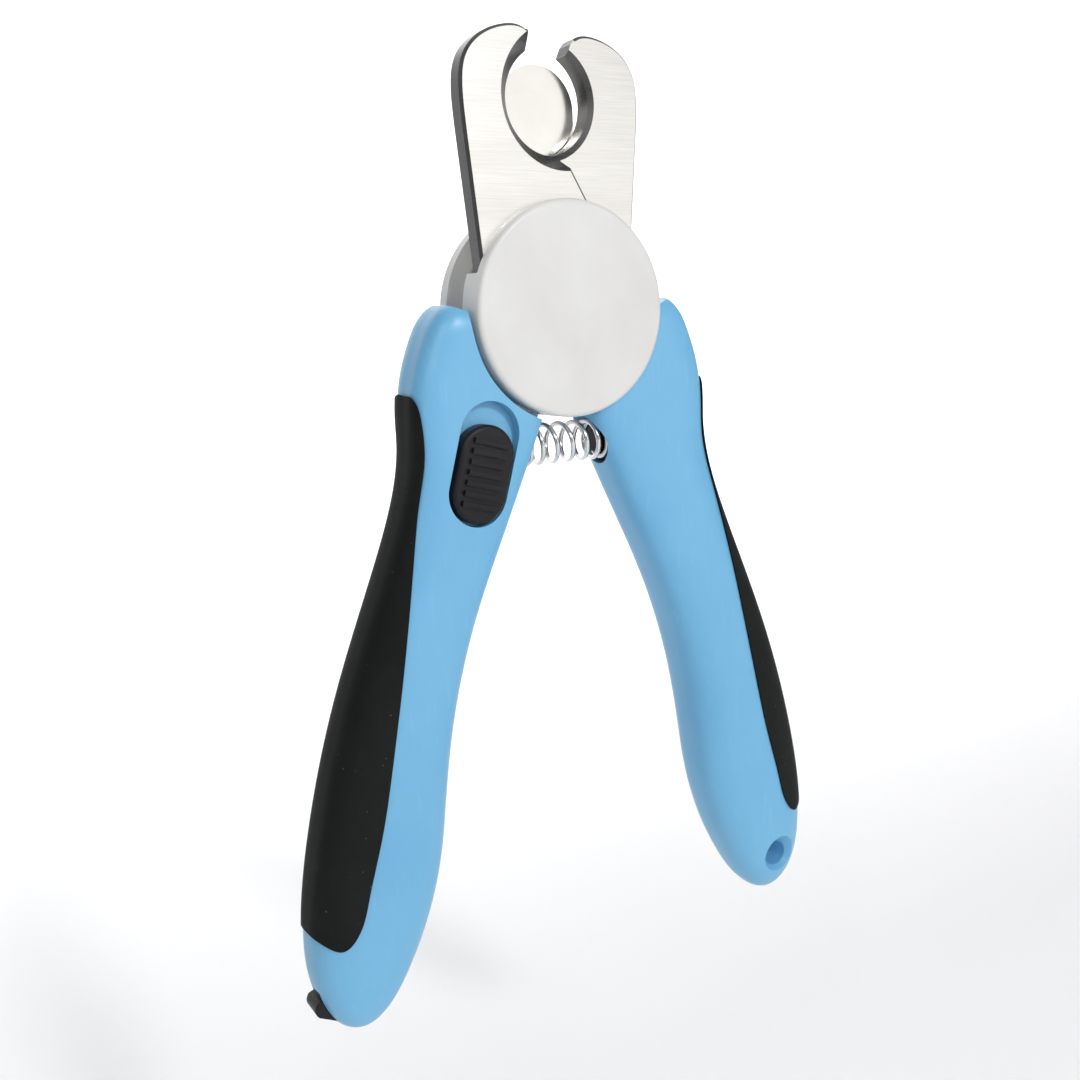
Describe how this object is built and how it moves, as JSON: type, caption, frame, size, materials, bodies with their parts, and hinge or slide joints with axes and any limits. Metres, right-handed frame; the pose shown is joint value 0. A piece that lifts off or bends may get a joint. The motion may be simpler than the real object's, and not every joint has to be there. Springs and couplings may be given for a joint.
{
  "type": "pet nail trimmer",
  "caption": "Pliers-type pet nail trimmer: two notched blades on a round hub, sprung blue handles with black grips, a safety guard, a slide lock and a file stored in a handle.",
  "frame": {"origin": "on the pivot axis, at the rear cap's outer flat face", "axes": "+Y out of the rear cap's face, along the pivot axis; +Z towards the blades, between the two open handles; +X to the right as seen from the front"},
  "size_m": [0.0996, 0.0147, 0.1545],
  "materials": {
    "blue_plastic": "satin moulded light blue",
    "black_rubber": "matt soft-touch overmould",
    "white_plastic": "satin moulded white",
    "blade_steel": "ground faces, polished chamfer",
    "guard_steel": "polished sheet",
    "bolt_steel": "turned",
    "spring_steel": "drawn bright wire",
    "file_steel": "etched cross-hatch",
    "black_plastic": "satin moulded black"
  },
  "bodies": {
    "right_arm": {"right_handle": "blue_plastic", "right_grip": "black_rubber", "front_blade": "blade_steel", "front_hub": "white_plastic", "front_cap": "white_plastic", "pivot_bolt": "bolt_steel", "pivot_nut": "bolt_steel", "front_washer": "bolt_steel", "stop_pin": "bolt_steel", "front_tang_pin_upper": "bolt_steel", "front_tang_pin_lower": "bolt_steel", "right_spring_seat": "black_plastic", "return_spring": "spring_steel"},
    "left_arm": {"left_handle": "blue_plastic", "left_grip": "black_rubber", "rear_blade": "blade_steel", "rear_hub": "white_plastic", "rear_cap": "white_plastic", "rear_tang_pin_upper": "bolt_steel", "rear_tang_pin_lower": "bolt_steel", "left_spring_seat": "black_plastic"},
    "guard": {"safety_guard": "guard_steel", "guard_washer": "bolt_steel"},
    "lock": {"lock_button": "black_plastic", "lock_tongue": "black_plastic", "lock_pin": "bolt_steel"},
    "file": {"nail_file": "file_steel", "file_cap": "black_plastic"}
  },
  "joints": [
    {"name": "squeeze", "type": "hinge", "parent": "right_arm", "child": "left_arm", "pos_m": [0, -0.007, 0], "axis": [0, -1, 0], "range_deg": [0, 27], "stiffness_Nm_per_rad": 0.2, "springref_deg": -17.19, "deforming": ["return_spring"]},
    {"name": "guard_swing", "type": "hinge", "parent": "left_arm", "child": "guard", "pos_m": [0, -0.0039, 0], "axis": [0, -1, 0], "range_deg": [0, 58]},
    {"name": "lock_slide", "type": "slide", "parent": "left_arm", "child": "lock", "axis": [0.2756, 0, 0.9613], "range_m": [0, 0.0032]},
    {"name": "file_slide", "type": "slide", "parent": "left_arm", "child": "file", "axis": [-0.2079, 0, -0.9781], "range_m": [0, 0.064]}
  ]
}
